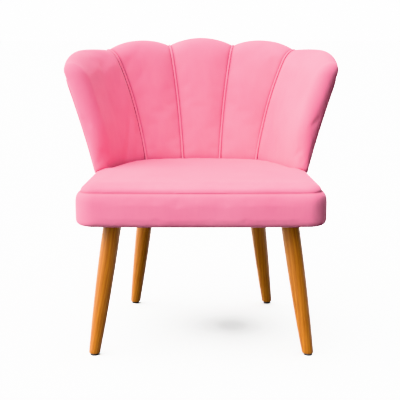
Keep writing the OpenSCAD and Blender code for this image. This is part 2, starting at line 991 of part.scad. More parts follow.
piping_right_outer();
edge_piping();
outer_back_cover();
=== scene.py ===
import math
import bpy
import bmesh
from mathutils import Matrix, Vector, noise


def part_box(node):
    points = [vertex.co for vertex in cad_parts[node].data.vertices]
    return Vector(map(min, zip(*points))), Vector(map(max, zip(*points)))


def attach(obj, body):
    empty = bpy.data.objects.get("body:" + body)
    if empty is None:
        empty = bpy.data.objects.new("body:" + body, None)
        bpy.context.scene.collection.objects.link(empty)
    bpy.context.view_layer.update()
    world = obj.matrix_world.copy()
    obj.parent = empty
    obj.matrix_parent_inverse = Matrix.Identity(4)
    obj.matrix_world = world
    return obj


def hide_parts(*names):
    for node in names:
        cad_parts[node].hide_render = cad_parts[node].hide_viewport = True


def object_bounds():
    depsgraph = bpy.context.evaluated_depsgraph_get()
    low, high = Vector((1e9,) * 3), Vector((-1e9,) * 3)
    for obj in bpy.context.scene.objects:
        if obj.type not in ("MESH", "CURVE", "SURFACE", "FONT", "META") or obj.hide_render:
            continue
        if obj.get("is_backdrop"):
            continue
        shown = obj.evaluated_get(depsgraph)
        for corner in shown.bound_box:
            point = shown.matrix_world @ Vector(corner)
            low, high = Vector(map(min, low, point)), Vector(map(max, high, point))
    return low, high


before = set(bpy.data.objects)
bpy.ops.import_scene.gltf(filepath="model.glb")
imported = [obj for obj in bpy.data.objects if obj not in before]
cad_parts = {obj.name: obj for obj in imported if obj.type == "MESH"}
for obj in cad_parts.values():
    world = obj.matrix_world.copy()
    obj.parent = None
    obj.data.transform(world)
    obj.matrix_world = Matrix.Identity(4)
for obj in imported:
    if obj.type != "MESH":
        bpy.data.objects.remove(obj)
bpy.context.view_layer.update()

scene = bpy.context.scene
scene.view_settings.view_transform = "Khronos PBR Neutral"

# The plan of the seat, as arcs from the middle of its rear edge
# A turn is the outward direction in degrees, counted from straight back.
seatPlan = {
    "rearRadius": 0.5448, "rearTurn": 17,
    "cornerRadius": 0.165, "cornerTurn": 76,
    "sideRadius": 0.6, "sideTurn": 87,
    "frontCornerRadius": 0.037, "frontTurn": 177.2,
    "depth": 0.537,
}
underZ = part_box("seat_border")[0].z
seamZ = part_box("seat_border")[1].z
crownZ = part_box("seat_top_cover")[1].z
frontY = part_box("seat_top_cover")[0].y
rearY = frontY + seatPlan["depth"]


def sind(a): return math.sin(math.radians(a))
def cosd(a): return math.cos(math.radians(a))
def tand(a): return math.tan(math.radians(a))
def lerp(a, b, t): return a + (b - a) * t
def steps(a, b, n): return [lerp(a, b, i / n) for i in range(n + 1)]


def smooth(low, high, x):  # 0 below low, 1 above high, with soft ends
    t = min(1, max(0, (x - low) / (high - low)))
    return t * t * (3 - 2 * t)


def arcPart(radius, start, end, turn):  # steps outwards and to the front along one arc
    if turn <= start:
        return Vector((0, 0))
    stop = min(turn, end)
    return radius * Vector((sind(stop) - sind(start), cosd(start) - cosd(stop)))


def sideStep(turn):
    p = seatPlan
    return (arcPart(p["rearRadius"], 0, p["rearTurn"], turn)
            + arcPart(p["cornerRadius"], p["rearTurn"], p["cornerTurn"], turn)
            + arcPart(p["sideRadius"], p["cornerTurn"], p["sideTurn"], turn))


def closePlan():  # the straight side and the bowed front that close the plan
    p = seatPlan
    toSide = sideStep(p["sideTurn"])
    corner = arcPart(p["frontCornerRadius"], p["sideTurn"], p["frontTurn"], 180)
    bow = tand((180 - p["frontTurn"]) / 2)
    length = ((p["depth"] - toSide[1] - corner[1] - (toSide[0] + corner[0]) * bow)
              / (sind(p["sideTurn"]) + cosd(p["sideTurn"]) * bow))
    run = length * Vector((cosd(p["sideTurn"]), sind(p["sideTurn"])))
    return run, (toSide + run + corner)[0] / sind(p["frontTurn"])


sideRun, frontRadius = closePlan()


def edgePoint(turn, past, inset):  # past is 1 beyond the straight side, 0 before it
    p = seatPlan
    a = abs(turn)
    step = sideStep(a) + past * sideRun
    step += past * arcPart(p["frontCornerRadius"], p["sideTurn"], p["frontTurn"], a)
    step += past * arcPart(frontRadius, p["frontTurn"], 180, a)
    return Vector((math.copysign(1, turn) * (step[0] - inset * sind(a)), rearY - step[1] - inset * cosd(a)))


# The leaning shell of the back
backShape = {
    "lean": 14.5,            # degrees from upright
    "thickness": 0.064,      # outer cover to a channel's crest
    "groove": 0.0145,        # depth of the seams
    "baseGroove": 0.5,       # share of that depth left at the seat
    "wingTurn": 85.45,       # where the wings' rounded fronts begin
    "innerSeam": (6.3, 9.2), # turns at the seat and at the top
    "outerSeam": (25.4, 46.3),
    "seamFan": 1.75,         # how late the seams fan out
    "centreRise": 0.0025,    # crests of the scallops above the drawn top
    "innerDrop": 0.0205,     # seams' ends below the top of the middle channel
    "outerDrop": 0.031,
    "wingDrop": 0.052,
    "innerBump": 0.0215,     # scallops above the line through the seams' ends
    "wingBump": 0.013,
    "corner": 0.003,         # how far a wing's top drops further at its front
    "taper": (1.75, 0.024, 0.004),  # where a wing starts to thin, and by how much at the seat and higher up
    "nosePull": (0.026, 0.031), "endPull": 0.030,  # how far the curve is drawn out at each end
    "noseSlope": (24, 6),    # degrees by which its face has turned there, at the seat and higher up
    "flare": 0.0115,         # how far the wings' tops turn further outwards
    "pinch": 0.002,          # how far the padding draws in where it meets the seat
}
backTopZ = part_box("channel_cover_centre")[1].z
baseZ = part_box("channel_cover_centre")[0].z
halfThick = backShape["thickness"] / 2


def shellPoint(turn, inset, z):
    b = backShape
    flare = b["flare"] * max(0, (z - seamZ - 0.06) / 0.22) ** 1.6 * (abs(turn) / b["wingTurn"]) ** 2
    p = edgePoint(turn, 0, inset - flare - (z - seamZ) * tand(b["lean"]))
    return Vector((p.x, p.y, z))


def runTo(turn):  # distance along the seat's edge from the middle of the rear
    p = seatPlan
    return math.radians(p["rearRadius"] * min(turn, p["rearTurn"])
                        + p["cornerRadius"] * max(0, min(turn, p["cornerTurn"]) - p["rearTurn"])
                        + p["sideRadius"] * max(0, turn - p["cornerTurn"]))


def turnAlong(run):
    p = seatPlan
    rear, corner = runTo(p["rearTurn"]), runTo(p["cornerTurn"])
    return math.degrees(min(run, rear) / p["rearRadius"]
                        + max(0, min(run, corner) - rear) / p["cornerRadius"]
                        + max(0, run - corner) / p["sideRadius"])


def seamRuns(z):  # runs of the inner seam, the outer seam and the wing's front at one height
    b = backShape
    rise = max(0, (z - baseZ) / (backTopZ - baseZ)) ** b["seamFan"]
    return runTo(lerp(*b["innerSeam"], rise)), runTo(lerp(*b["outerSeam"], rise)), runTo(b["wingTurn"])


def turnAt(s, z):  # s runs from -2.5 at the left wing to 2.5, with seams at the halves
    t, (inner, outer, wing) = abs(s), seamRuns(z)
    if t < 0.5:
        run = 2 * t * inner
    elif t < 1.5:
        run = lerp(inner, outer, t - 0.5)
    else:
        run = lerp(outer, wing, t - 1.5)
    return math.copysign(turnAlong(run), s)


def seamGap(s, z):  # distance to the nearest seam between channels
    t, (inner, outer, wing) = abs(s), seamRuns(z)
    width = 2 * inner if t < 0.5 else outer - inner if t < 1.5 else wing - outer
    return (1 - offCrest(s)) * width / 2 if t < 2 else width / 2


def offCrest(s):  # 0 on a channel's crest, 1 at a seam
    t = abs(s) + 0.5
    return abs(2 * (t - math.floor(t)) - 1)


def topZ(s):
    b = backShape
    t, bump = abs(s), 1 - offCrest(s) ** 2
    inner, outer, wing = backTopZ - b["innerDrop"], backTopZ - b["outerDrop"], backTopZ - b["wingDrop"]
    if t < 0.5:
        return lerp(inner, backTopZ + b["centreRise"], bump)
    if t < 1.5:
        return lerp(inner, outer, t - 0.5) + b["innerBump"] * bump
    corner = b["corner"] * max(0, (t - 2.1) / 0.4) ** 3
    return lerp(outer, wing, min(1, t - 1.5)) + b["wingBump"] * bump - corner


def rollZ(s): return topZ(s) - halfThick


def dip(s):  # how far into the groove: pillowed, and steep beside the seam
    v = offCrest(s) if abs(s) < 2 else 0
    return 0.42 * v ** 2.4 + 0.58 * v ** 8


def faceDepth(s, z):
    b = backShape
    groove = b["groove"] * lerp(b["baseGroove"], 1, smooth(baseZ + 0.01, baseZ + 0.13, z))
    return b["thickness"] - taper(s, z) - groove * dip(s) - pinch(z)


def upWing(z): return smooth(crownZ - 0.01, crownZ + 0.13, z)


def taper(s, z):
    start, low, high = backShape["taper"]
    return lerp(low, high, upWing(z)) * max(0, (abs(s) - start) / (2.5 - start)) ** 2


def pinch(z): return backShape["pinch"] * math.exp(-max(0, z - crownZ) / 0.012)


# Materials
def nodeAdder(tree):  # gives a function that adds nodes to this tree, with their inputs filled
    def add(kind, inputs=None, **settings):
        node = tree.nodes.new(kind)
        for key, value in settings.items():
            setattr(node, key, value)
        for key, value in (inputs or {}).items():
            if isinstance(value, bpy.types.NodeSocket):
                tree.links.new(value, node.inputs[key])
            else:
                node.inputs[key].default_value = value
        return node

    return add


def nodeKit(name):
    mat = bpy.data.materials.new(name)
    mat.use_nodes = True
    tree = mat.node_tree
    shader = next(n for n in tree.nodes if n.type == "BSDF_PRINCIPLED")
    return mat, shader, nodeAdder(tree), tree.links.new


def ramp(add, factor, stops):
    node = add("ShaderNodeValToRGB", {"Fac": factor})
    bar = node.color_ramp
    while len(bar.elements) < len(stops):
        bar.elements.new(0.5)
    for element, (place, colour) in zip(bar.elements, stops):
        element.position = place
        element.color = (*colour, 1)
    return node.outputs["Color"]


def blendColour(add, kind, factor, a, b):
    node = add("ShaderNodeMix", data_type="RGBA", blend_type=kind)
    for socket, value in ((node.inputs[0], factor), (node.inputs[6], a), (node.inputs[7], b)):
        if isinstance(value, bpy.types.NodeSocket):
            node.id_data.links.new(value, socket)
        elif isinstance(value, tuple):
            socket.default_value = (*value, 1)
        else:
            socket.default_value = value
    return node.outputs[2]


def noiseAt(add, where, scale, detail=3.0, rough=0.55):
    return add("ShaderNodeTexNoise", {"Vector": where, "Scale": scale, "Detail": detail,
                                      "Roughness": rough}).outputs["Fac"]


def roughFrom(add, link, shader, factor, low, high):  # roughness that follows a factor
    spread = add("ShaderNodeMapRange", {"Value": factor, "To Min": low, "To Max": high})
    link(spread.outputs["Result"], shader.inputs["Roughness"])


def bumpFrom(add, link, shader, height, strength, distance):
    bump = add("ShaderNodeBump", {"Height": height, "Strength": strength, "Distance": distance})
    link(bump.outputs["Normal"], shader.inputs["Normal"])


def stretchedBy(add, where, scale):
    return add("ShaderNodeMapping", {"Vector": where, "Scale": scale}).outputs["Vector"]


velvetLook = {
    "light": (0.800, 0.250, 0.375),   # pile brushed towards the eye
    "dark": (0.740, 0.205, 0.325),    # pile brushed away
    "seam": (0.240, 0.018, 0.055),    # painted shade deep in a seam
    "napScale": 9.0, "pileScale": 1400.0,
    "sheen": 0.30, "sheenRough": 0.45, "sheenTint": (1.0, 0.80, 0.87),
}


def velvet(name, paintedLightTone=1.0, seamShare=0.92):
    look = velvetLook
    mat, shader, add, link = nodeKit(name)
    where = add("ShaderNodeTexCoord").outputs["Object"]
    nap = noiseAt(add, where, look["napScale"], 4.0, 0.5)
    strokes = noiseAt(add, stretchedBy(add, where, (60, 60, 9)), 1.0, 5.0, 0.6)
    pile = noiseAt(add, where, look["pileScale"], 2.0, 0.7)
    # this tone paints the whole copy of the velvet lighter or darker, as painted light or shade
    light = tuple(c * paintedLightTone for c in look["light"])
    dark = tuple(c * paintedLightTone for c in look["dark"])
    cloth = ramp(add, nap, [(0.32, dark), (0.68, light)])
    strokeTone = ramp(add, strokes, [(0.25, (0.78, 0.66, 0.70)), (0.7, (1, 1, 1))])
    pileTone = ramp(add, pile, [(0.3, (0.72, 0.62, 0.66)), (0.62, (1, 1, 1))])
    cloth = blendColour(add, "MULTIPLY", 0.28, cloth, strokeTone)
    cloth = blendColour(add, "MULTIPLY", 0.30, cloth, pileTone)
    # Painted shade: the crease attribute mixes the cloth towards the dark seam colour in seams, creases and
    # tucks, where shade falls
    creaseShade = add("ShaderNodeAttribute", attribute_name="creaseShade").outputs["Fac"]
    depth = add("ShaderNodeMath", {0: creaseShade, 1: seamShare}, operation="MULTIPLY").outputs[0]
    cloth = blendColour(add, "MIX", depth, cloth, look["seam"])
    link(cloth, shader.inputs["Base Color"])
    roughFrom(add, link, shader, strokes, 0.80, 0.97)
    shader.inputs["Specular IOR Level"].default_value = 0.22
    shader.inputs["Sheen Weight"].default_value = look["sheen"]
    shader.inputs["Sheen Roughness"].default_value = look["sheenRough"]
    shader.inputs["Sheen Tint"].default_value = (*look["sheenTint"], 1)
    height = add("ShaderNodeMath", {0: nap, 1: 2.0, 2: pile}, operation="MULTIPLY_ADD").outputs[0]
    bumpFrom(add, link, shader, height, 0.35, 0.0006)
    return mat


woodLook = {
    "dark": (0.170, 0.048, 0.005), "mid": (0.300, 0.100, 0.012), "light": (0.380, 0.140, 0.019),
    "along": 0.07, "gloss": 0.22,
}


def legWood():
    look = woodLook
    mat, shader, add, link = nodeKit("oiledLegWood")
    where = add("ShaderNodeAttribute", attribute_name="grain").outputs["Vector"]
    stretched = stretchedBy(add, where, (1, 1, look["along"]))
    wander = noiseAt(add, stretched, 14.0, 3.0, 0.5)
    bent = add("ShaderNodeVectorMath", {0: stretched, 1: (0.021, 0.006, 0)}, operation="ADD").outputs[0]
    rings = add("ShaderNodeTexWave",
                {"Vector": bent, "Scale": 34.0, "Distortion": 3.2, "Detail": 3.0, "Detail Scale": 1.6},
                wave_type="RINGS", rings_direction="Z").outputs["Fac"]
    fibre = noiseAt(add, stretchedBy(add, where, (1, 1, 0.025)), 420.0, 4.0, 0.65)
    body = ramp(add, rings, [(0.05, look["mid"]), (0.62, look["light"]), (0.95, look["mid"])])
    patches = ramp(add, wander, [(0.42, (0, 0, 0)), (0.72, (0.75, 0.75, 0.75))])
    fibreTone = ramp(add, fibre, [(0.34, (0.50, 0.38, 0.28)), (0.56, (1, 1, 1))])
    body = blendColour(add, "MIX", patches, body, look["dark"])
    body = blendColour(add, "MULTIPLY", 0.55, body, fibreTone)
    link(body, shader.inputs["Base Color"])
    roughFrom(add, link, shader, fibre, 0.50, 0.34)
    shader.inputs["Specular IOR Level"].default_value = look["gloss"]
    bumpFrom(add, link, shader, fibre, 0.25, 0.0004)
    return mat


def rawWood(name, dark, light, stretch, scale):  # planed timber and plywood inside the chair
    mat, shader, add, link = nodeKit(name)
    where = add("ShaderNodeTexCoord").outputs["Object"]
    grain = noiseAt(add, stretchedBy(add, where, stretch), scale, 6.0, 0.6)
    body = ramp(add, grain, [(0.3, dark), (0.66, light)])
    speck = noiseAt(add, where, 700.0, 2.0)
    specks = ramp(add, speck, [(0.35, (0.6, 0.5, 0.4)), (0.5, (1, 1, 1))])
    body = blendColour(add, "MULTIPLY", 0.25, body, specks)
    link(body, shader.inputs["Base Color"])
    roughFrom(add, link, shader, grain, 0.62, 0.80)
    bumpFrom(add, link, shader, grain, 0.3, 0.0005)
    return mat


def zincSteel():
    mat, shader, add, link = nodeKit("zincPlatedSteel")
    where = add("ShaderNodeTexCoord").outputs["Object"]
    wear = noiseAt(add, where, 260.0, 4.0)
    worn = ramp(add, wear, [(0.3, (0.50, 0.51, 0.53)), (0.7, (0.74, 0.75, 0.76))])
    link(worn, shader.inputs["Base Color"])
    roughFrom(add, link, shader, wear, 0.26, 0.46)
    shader.inputs["Metallic"].default_value = 1.0
    bumpFrom(add, link, shader, wear, 0.12, 0.0003)
    return mat


def glidePlastic():
    mat, shader, add, link = nodeKit("blackGlidePlastic")
    where = add("ShaderNodeTexCoord").outputs["Object"]
    grit = noiseAt(add, where, 900.0, 3.0)
    scuff = noiseAt(add, where, 90.0, 4.0)
    scuffed = ramp(add, scuff, [(0.4, (0.018, 0.018, 0.020)), (0.75, (0.055, 0.053, 0.050))])
    link(scuffed, shader.inputs["Base Color"])
    roughFrom(add, link, shader, scuff, 0.42, 0.68)
    bumpFrom(add, link, shader, grit, 0.25, 0.0003)
    return mat


def wovenCloth(name, dark, light, perMetre):  # plain cloth and webbing, woven on the X and Y of the seat
    mat, shader, add, link = nodeKit(name)
    where = add("ShaderNodeTexCoord").outputs["Object"]
    threads = []
    for turn in (0.0, math.pi / 2):
        turned = add("ShaderNodeMapping", {"Vector": where, "Rotation": (0, 0, turn)}).outputs["Vector"]
        threads.append(add("ShaderNodeTexWave", {"Vector": turned, "Scale": perMetre, "Distortion": 0.6,
                                                 "Detail": 1.0}).outputs["Fac"])
    weave = add("ShaderNodeMath", {0: threads[0], 1: threads[1]}, operation="MULTIPLY").outputs[0]
    fuzz = noiseAt(add, where, 1200.0, 2.0)
    mixed = add("ShaderNodeMath", {0: fuzz, 1: 0.5, 2: weave}, operation="MULTIPLY_ADD").outputs[0]
    link(ramp(add, mixed, [(0.2, dark), (0.9, light)]), shader.inputs["Base Color"])
    shader.inputs["Roughness"].default_value = 0.92
    shader.inputs["Specular IOR Level"].default_value = 0.15
    bumpFrom(add, link, shader, mixed, 0.5, 0.0005)
    return mat


pinkVelvet = velvet("pinkVelvet")
# Painted shade: the border and the outer back are darker copies of the velvet; painted highlight: the
# piping is a lighter copy
borderVelvetShaded = velvet("borderVelvetShaded", 0.97)
pipingVelvetLit = velvet("pipingVelvetLit", 1.04, 0.3)
outerVelvetShaded = velvet("outerVelvetShaded", 0.96)
oiledWood = legWood()
print("materials made")


# Meshes
def finishPiece(name, mesh, material):
    piece = bpy.data.objects.new(name, mesh)
    scene.collection.objects.link(piece)
    mesh.materials.clear()
    mesh.materials.append(material)
    for face in mesh.polygons:
        face.use_smooth = True
    return piece


def setAttribute(mesh, name, values, kind="FLOAT"):
    layer = mesh.attributes.new(name, kind, "POINT")
    layer.data.foreach_set("vector" if kind == "FLOAT_VECTOR" else "value", values)


# A pad is a closed body between a visible surface and a hidden one. Each grid is
# rows of (visible point, hidden point, painted crease shade), and equal points are welded.
def padMesh(name, grids, ring=False):
    index, visible, hidden, creaseShade, faces = {}, [], [], [], []

    def corner(entry):
        key = tuple(round(c, 6) for c in entry[0])
        if key not in index:
            index[key] = len(visible)
            visible.append(entry[0])
            hidden.append(entry[1])
            creaseShade.append(entry[2])
        return index[key]

    for rows in grids:
        ids = [[corner(entry) for entry in row] for row in rows]
        if ring:
            ids.append(ids[0])
        for one, two in zip(ids, ids[1:]):
            for j in range(len(one) - 1):
                quad = list(dict.fromkeys((one[j], two[j], two[j + 1], one[j + 1])))
                if len(quad) > 2:
                    faces.append(quad)
    used = {}
    for face in faces:
        for a, b in zip(face, face[1:] + face[:1]):
            used.setdefault(frozenset((a, b)), []).append((a, b))
    rim = [pairs[0] for pairs in used.values() if len(pairs) == 1]
    n = len(visible)
    walls = [[b, a, a + n, b + n] for a, b in rim]
    mesh = bpy.data.meshes.new(name)
    mesh.from_pydata(visible + hidden, [], faces + [[i + n for i in reversed(f)] for f in faces] + walls)
    work = bmesh.new()
    work.from_mesh(mesh)
    bmesh.ops.recalc_face_normals(work, faces=work.faces)
    work.to_mesh(mesh)
    work.free()
    setAttribute(mesh, "creaseShade", creaseShade + creaseShade)
    onRim = {i for edge in rim for i in edge}
    free = [i for i in range(n) if i not in onRim]
    return mesh, free


clothLook = {"frames": 16, "quality": 5, "mass": 0.25, "tension": 22.0, "bending": 4.0, "shear": 8.0}


def inflate(piece, held, pressure, cap, extra=0.0):
    # Held is a weight for each vertex: 1 stays where it is, 0 is free to swell.
    before = [v.co.copy() for v in piece.data.vertices]
    group = piece.vertex_groups.new(name="held")
    for i, weight in enumerate(held):
        if weight > 0:
            group.add([i], weight, "REPLACE")
    look = clothLook
    cloth = piece.modifiers.new("swell", "CLOTH")
    fabric = cloth.settings
    fabric.quality, fabric.mass = look["quality"], look["mass"]
    fabric.tension_stiffness = fabric.compression_stiffness = look["tension"]
    fabric.shear_stiffness, fabric.bending_stiffness = look["shear"], look["bending"]
    fabric.use_pressure, fabric.uniform_pressure_force = True, pressure
    fabric.vertex_group_mass = "held"
    fabric.shrink_min = -extra
    fabric.effector_weights.gravity = 0
    cloth.collision_settings.use_collision = False
    cloth.point_cache.frame_start, cloth.point_cache.frame_end = 1, look["frames"]
    for step in range(1, look["frames"] + 1):
        scene.frame_set(step)
    solved = piece.evaluated_get(bpy.context.evaluated_depsgraph_get())
    after = [v.co.copy() for v in solved.data.vertices]
    piece.modifiers.remove(cloth)
    scene.frame_set(1)
    far = 0
    for vertex, old, new in zip(piece.data.vertices, before, after):
        move = new - old
        far = max(far, move.length)
        if move.length > cap:
            move *= cap / move.length
        vertex.co = old + move
    piece.vertex_groups.clear()
    piece.data.update()
    print(f"  {piece.name} swelled by up to {far * 1000:.1f} mm")


def subdivide(piece, levels):
    mod = piece.modifiers.new("soft", "SUBSURF")
    mod.levels = mod.render_levels = levels
    return piece


def mirrorPiece(piece, name):
    mesh = piece.data.copy()
    mesh.name = name
    for v in mesh.vertices:
        v.co.x = -v.co.x
    mesh.flip_normals()
    twin = bpy.data.objects.new(name, mesh)
    scene.collection.objects.link(twin)
    return twin


# Channels of the back
channelLook = {
    "rows": 26, "wingRows": 34, "faceSteps": 36, "rollSteps": 12, "noseSteps": 14,
    "lining": 0.036, "topHollow": 0.010, "core": 0.3,
    "hookInner": 0.007,
    "hookMore": 0.009,  # how much further the cover comes down the outside at the wings
    "pressure": 3.0, "cap": 0.004, "extra": 0.003,
}
hookSteps = 2
hookDepth = hookSteps * (rollZ(2.5) - baseZ) / channelLook["faceSteps"]


# painted shade beside the seams between channels, fading within a few millimetres
def creaseShade(s, z): return math.exp(-max(0, seamGap(s, z) - 0.003) / 0.0022)


def channelRow(s):
    b, look = backShape, channelLook
    row = []
    for t in steps(0, 1, look["faceSteps"]):
        z = lerp(baseZ, rollZ(s), t)
        turn = turnAt(s, z)
        # painted shade where the channel tucks into the seat
        tuck = 0.35 * math.exp(-max(0, z - crownZ) / 0.005)
        row.append((shellPoint(turn, faceDepth(s, z), z), shellPoint(turn, look["lining"], z),
                    max(creaseShade(s, z), tuck)))
    depth = faceDepth(s, rollZ(s))
    middle, hollow = depth / 2, depth / 2 - look["topHollow"]
    for i in range(1, look["rollSteps"] + 1):
        f = 180 * i / look["rollSteps"]
        z = rollZ(s) + halfThick * sind(f)
        inner = rollZ(s) + (halfThick - look["topHollow"] * 2) * sind(f)
        row.append((shellPoint(turnAt(s, z), middle + middle * cosd(f), z),
                    shellPoint(turnAt(s, inner), middle + hollow * cosd(f) * 0.55, inner), creaseShade(s, z)))
    reach = hookDepth + look["hookMore"] * smooth(2.15, 2.35, abs(s))
    for i in range(1, hookSteps + 1):
        z = rollZ(s) - reach * i / hookSteps
        turn = turnAt(s, z)
        # painted shade at the end of the hook, where the cover turns under
        row.append((shellPoint(turn, 0, z), shellPoint(turn, look["hookInner"], z),
                    max(creaseShade(s, z), 0.5 * (i == hookSteps))))
    return row


def crownAt(inset):  # height of the cushion that a wing's front stands on
    roll = 0.030
    return seamZ + (crownZ - seamZ) * math.sqrt(1 - max(0, 1 - inset / roll) ** 2)


# In plan a wing's front is one smooth curve from the face (0) round to the
# outside (1), given as (inset, distance ahead of the channel's end).
def nosePlan(w, z, shrink=1.0):
    b, up = backShape, upWing(z)
    deep = b["thickness"] - taper(2.5, z)
    slope, pull = math.radians(lerp(*b["noseSlope"], up)), lerp(*b["nosePull"], up)
    pulls = [(deep, 0), (deep - pull * math.sin(slope), pull * math.cos(slope)), (0, b["endPull"]), (0, 0)]
    share = ((1 - w) ** 3, 3 * w * (1 - w) ** 2, 3 * w * w * (1 - w), w ** 3)
    inset, ahead = (sum(k * p[i] for k, p in zip(share, pulls)) for i in (0, 1))
    return deep / 2 + (inset - deep / 2) * shrink, ahead * shrink


def noseRow(w):
    b, look = backShape, channelLook
    turn = b["wingTurn"]
    forward = Vector((cosd(turn), -sind(turn), 0))
    low = baseZ if w == 0 else max(baseZ, crownAt(nosePlan(w, crownZ)[0]) - 0.006)

    def at(z, shrink):
        inset, ahead = nosePlan(w, z, shrink)
        return shellPoint(turn, inset - pinch(z) * (1 - w) * min(1, shrink), z) + forward * ahead

    row = []
    for t in steps(0, 1, look["faceSteps"]):
        z = lerp(low, rollZ(2.5), t)
        # painted shade where the wing's front tucks into the seat
        tuck = math.exp(-max(0, z - low - 0.004) / 0.005)
        row.append((at(z, 1), at(z, look["core"]), 0.35 * tuck))
    for i in range(1, look["rollSteps"] // 2 + 1):
        g = 180 * i / look["rollSteps"]
        z = rollZ(2.5) + halfThick * sind(g)
        inner = rollZ(2.5) + halfThick * look["core"] * sind(g)
        row.append((at(z, cosd(g)), at(inner, look["core"] * cosd(g)), 0))
    return row


def spaced(a, b, n, tight=0.75):  # closer together towards both ends
    return [lerp(a, b, lerp(i / n, 0.5 - 0.5 * cosd(180 * i / n), tight)) for i in range(n + 1)]


def makeChannel(name, grids, material):
    mesh, free = padMesh(name, grids)
    piece = finishPiece(name, mesh, material)
    held = [1.0] * len(mesh.vertices)
    creaseShades = mesh.attributes["creaseShade"].data
    # the cloth is held beside the seams, where the painted crease shade is strong
    for i in free:
        held[i] = min(1, 2.2 * creaseShades[i].value)
    inflate(piece, held, channelLook["pressure"], channelLook["cap"], channelLook["extra"])
    return subdivide(piece, 1)


def channelRows(a, b): return [[channelRow(s) for s in spaced(a, b, channelLook["rows"])]]


centre = makeChannel("centreChannel", channelRows(-0.5, 0.5), pinkVelvet)
rightInner = makeChannel("rightInnerChannel", channelRows(0.5, 1.5), pinkVelvet)
wingRows = [channelRow(lerp(1.5, 2.5, (1 - cosd(90 * t)) * 0.6 + t * 0.4))
            for t in steps(0, 1, channelLook["wingRows"])]
noseRows = [noseRow(w) for w in steps(0, 1, channelLook["noseSteps"])]
rightOuter = makeChannel("rightOuterChannel", [wingRows, noseRows], pinkVelvet)
leftInner = mirrorPiece(rightInner, "leftInnerChannel")
leftOuter = mirrorPiece(rightOuter, "leftOuterChannel")
for piece in (leftInner, leftOuter):
    subdivide(piece, 1)
for piece, side in ((centre, "centre"), (leftInner, "left_inner"), (leftOuter, "left_outer"),
                    (rightInner, "right_inner"), (rightOuter, "right_outer")):
    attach(piece, "root")
    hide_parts("channel_cover_" + side, "channel_foam_" + side)
print("channels made")


# Seat cushion
cushionLook = {
    "edgeRoll": 0.028, "backRoll": 0.004, "rise": 0.0175, "dome": 0.001, "extra": 0.001,
    "tuck": 0.004, "voxel": 0.005, "pressure": 2.0, "cap": 0.0025, "skirt": 0.016,
}


def cushionEdge():  # (point, direction inwards, roll) round the cushion, right side first
    look, p = cushionLook, seatPlan
    half = []
    for turn in [180, 179, 178.3] + steps(p["frontTurn"], p["sideTurn"], 14):
        half.append((edgePoint(turn, 1, 0), Vector((-sind(turn), -cosd(turn))), look["edgeRoll"]))
    start, end = edgePoint(p["sideTurn"], 1, 0), edgePoint(backShape["wingTurn"], 0, 0)
    side = Vector((-sind(p["sideTurn"]), -cosd(p["sideTurn"])))
    for t in steps(0, 1, 12)[1:]:
        half.append((start.lerp(end, t), side, look["edgeRoll"]))
    outer, wing = seamRuns(baseZ)[1:]
    for inset in steps(0.012, backShape["thickness"] - taper(2.5, crownZ) - look["tuck"] - 0.006, 3):
        half.append((edgePoint(backShape["wingTurn"], 0, inset), Vector((0, -1)), 0.002))
    for turn in steps(backShape["wingTurn"] - 0.4, 0, 60):
        s = 1.5 + (runTo(turn) - outer) / (wing - outer)
        half.append((edgePoint(turn, 0, backShape["thickness"] - taper(s, crownZ) - look["tuck"]),
                     Vector((-sind(turn), -cosd(turn))), look["backRoll"]))
    flip = Vector((-1, 1))
    return half + [(q * flip, d * flip, r) for q, d, r in half[-2:0:-1]]


def makeCushion():
    look = cushionLook
    edge = cushionEdge()
    rings = [[(q.x + d.x * 0.004, q.y + d.y * 0.004, seamZ - look["skirt"]) for q, d, r in edge]]
    for f in (0, 15, 30, 45, 60, 75, 90):
        rings.append([(q.x + d.x * (0.001 + r * (1 - cosd(f))), q.y + d.y * (0.001 + r * (1 - cosd(f))),
                       seamZ + look["rise"] * sind(f)) for q, d, r in edge])
    middle = Vector((0, frontY + 0.24))
    top = rings[-1]
    for k in (0.85, 0.7, 0.5, 0.3, 0.12):
        high = seamZ + look["rise"] + look["dome"] * (1 - k * k)
        rings.append([(lerp(middle.x, x, k), lerp(middle.y, y, k), high) for x, y, z in top])
    n = len(edge)
    faces = [list(range(n)), [len(rings) * n - 1 - i for i in range(n)]]
    for i in range(len(rings) - 1):
        low, high = i * n, (i + 1) * n
        faces += [[low + j, low + (j + 1) % n, high + (j + 1) % n, high + j] for j in range(n)]
    mesh = bpy.data.meshes.new("seatCushion")
    mesh.from_pydata([c for ring in rings for c in ring], [], faces)
    work = bmesh.new()
    work.from_mesh(mesh)
    bmesh.ops.recalc_face_normals(work, faces=work.faces)
    bmesh.ops.triangulate(work, faces=[f for f in work.faces if len(f.verts) > 4])
    work.to_mesh(mesh)
    work.free()
    piece = finishPiece("seatCushion", mesh, pinkVelvet)
    remesh = piece.modifiers.new("even", "REMESH")
    remesh.mode, remesh.voxel_size, remesh.use_smooth_shade = "VOXEL", look["voxel"], True
    solved = piece.evaluated_get(bpy.context.evaluated_depsgraph_get())
    even = bpy.data.meshes.new_from_object(solved)
    piece.modifiers.remove(remesh)
    piece.data = even
    even.name = "seatCushionMesh"
    held = [1 - smooth(seamZ + 0.006, seamZ + 0.014, v.co.z) for v in even.vertices]
    inflate(piece, held, look["pressure"], look["cap"], look["extra"])
    relax = piece.modifiers.new("relax", "SMOOTH")
    relax.factor, relax.iterations = 0.5, 4
    solved = piece.evaluated_get(bpy.context.evaluated_depsgraph_get())
    calm = bpy.data.meshes.new_from_object(solved)
    piece.modifiers.remove(relax)
    piece.data = calm
    # painted shade along the cushion's bottom seam
    setAttribute(calm, "creaseShade", [0.75 * math.exp(-max(0, v.co.z - seamZ) / 0.0016) for v in calm.vertices])
    return subdivide(piece, 1)


cushion = makeCushion()
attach(cushion, "root")
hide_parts("seat_top_cover", "seat_foam")
print("cushion made")


# Seat border
borderLook = {"swell": 0.011, "power": 9.0, "steps": 24, "tuck": 0.0022, "under": 0.001, "wall": 0.0075,
              "extra": 0.001,
              "pressure": 1.5, "cap": 0.0012}


